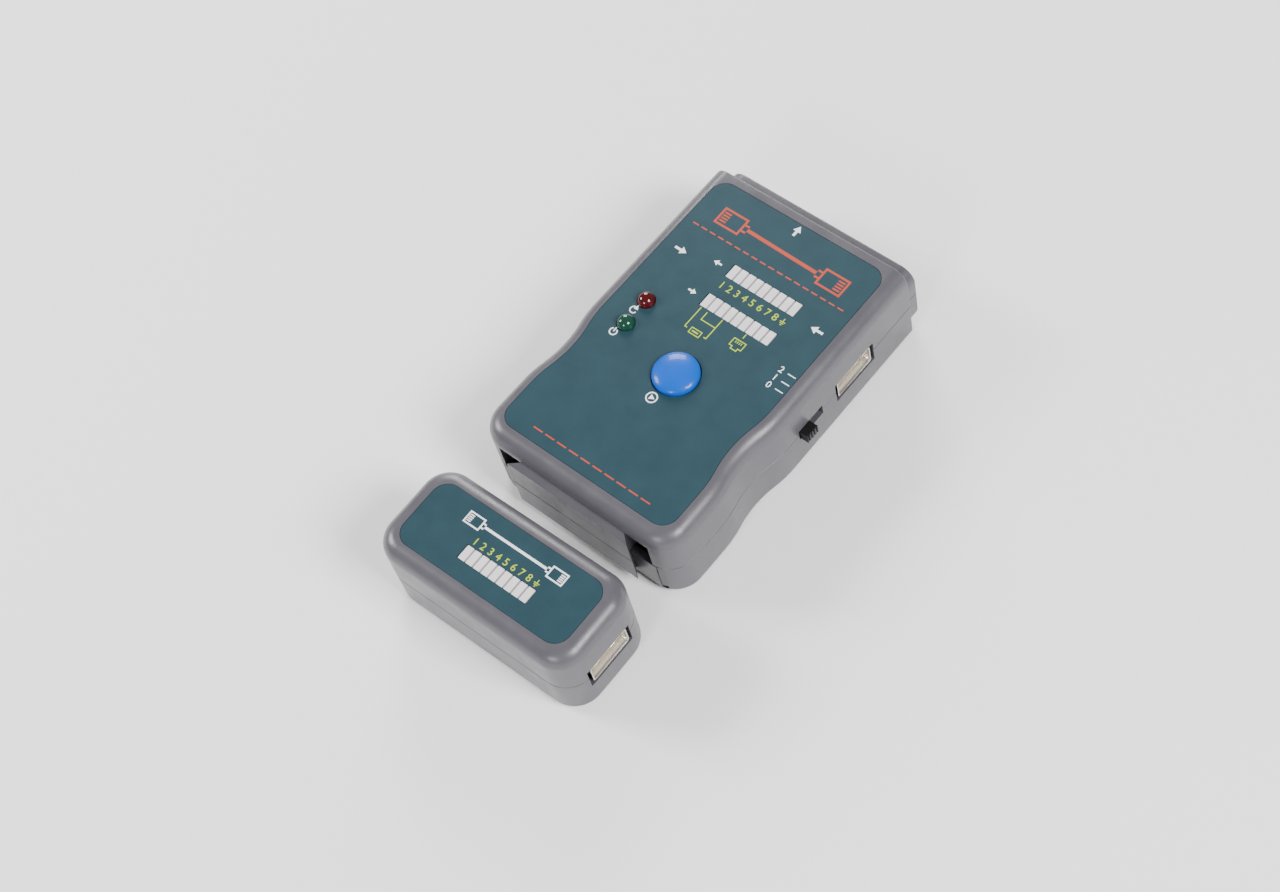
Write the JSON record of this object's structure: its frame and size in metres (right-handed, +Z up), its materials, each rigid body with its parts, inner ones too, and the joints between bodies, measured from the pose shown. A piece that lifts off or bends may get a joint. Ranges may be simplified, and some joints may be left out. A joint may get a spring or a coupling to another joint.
{
  "type": "network cable tester",
  "caption": "Handheld network cable tester: waisted plastic case with indicator bars, round test button, slide switch and cable sockets, lying beside its smaller detached remote unit.",
  "frame": {"origin": "middle of the main unit's underside, on the bench it lies on", "axes": "+Y towards the transmit end, +X towards the side with the slide switch, +Z up out of the label face; the remote lies past the -Y end"},
  "size_m": [0.0678, 0.1441, 0.0306],
  "materials": {
    "case_plastic": "fine satin moulding texture",
    "label_sheet": "printed film, semi-gloss",
    "bar_lens": "diffusing lens",
    "red_lens": "tinted lens",
    "green_lens": "tinted lens",
    "button_plastic": "gloss",
    "black_plastic": "satin",
    "contact_metal": "gold-plated",
    "socket_metal": "nickel-plated sheet",
    "white_plastic": "satin",
    "board_laminate": "green solder mask",
    "screw_steel": "zinc-plated",
    "battery_can": "plain dark jacket",
    "can_metal": "drawn can"
  },
  "bodies": {
    "main_unit": {"battery": "battery_can", "battery_contacts": "contact_metal", "board_header": "black_plastic", "board_screws": "screw_steel", "board_socket": "black_plastic", "capacitor": "can_metal", "case_screws": "screw_steel", "contact_plate": "black_plastic", "controller_chip": "black_plastic", "display_board": "board_laminate", "display_screws": "screw_steel", "driver_chips": "black_plastic", "front_housing": "case_plastic", "front_label": "label_sheet", "green_led": "green_lens", "header_pins": "contact_metal", "main_board": "board_laminate", "rear_housing": "case_plastic", "red_led": "red_lens", "resistors": "black_plastic", "rx_jack": "black_plastic", "rx_jack_contacts": "contact_metal", "rx_leds": "bar_lens", "slide_switch": "black_plastic", "tact_switch": "black_plastic", "tx_jack": "black_plastic", "tx_jack_contacts": "contact_metal", "tx_leds": "bar_lens", "usb_b_insert": "white_plastic", "usb_b_shell": "black_plastic", "usb_socket_contacts": "contact_metal", "usb_socket_insert": "white_plastic", "usb_socket_riser": "black_plastic", "usb_socket_shell": "socket_metal"},
    "button": {"test_button": "button_plastic", "tact_plunger": "black_plastic"},
    "knob": {"switch_knob": "black_plastic"},
    "door": {"battery_door": "case_plastic"},
    "remote": {"remote_board": "board_laminate", "remote_board_screws": "screw_steel", "remote_case_screws": "screw_steel", "remote_front_housing": "case_plastic", "remote_jack": "black_plastic", "remote_jack_contacts": "contact_metal", "remote_label": "label_sheet", "remote_leds": "bar_lens", "remote_rear_housing": "case_plastic", "remote_resistors": "black_plastic", "remote_usb_socket_contacts": "contact_metal", "remote_usb_socket_insert": "white_plastic", "remote_usb_socket_riser": "black_plastic", "remote_usb_socket_shell": "socket_metal", "led_spacer": "black_plastic"}
  },
  "joints": [
    {"name": "button_press", "type": "slide", "parent": "main_unit", "child": "button", "axis": [0, 0, -1], "range_m": [0, 0.0008], "stiffness_N_per_m": 400, "springref_m": -0.003},
    {"name": "switch_slide", "type": "slide", "parent": "main_unit", "child": "knob", "axis": [0, 1, 0], "range_m": [0, 0.005]},
    {"name": "door_slide", "type": "slide", "parent": "main_unit", "child": "door", "axis": [0, -1, 0], "range_m": [0, 0.0055]},
    {"name": "remote_apart", "type": "slide", "parent": "main_unit", "child": "remote", "axis": [0, -1, 0], "range_m": [0, 0.12]}
  ]
}
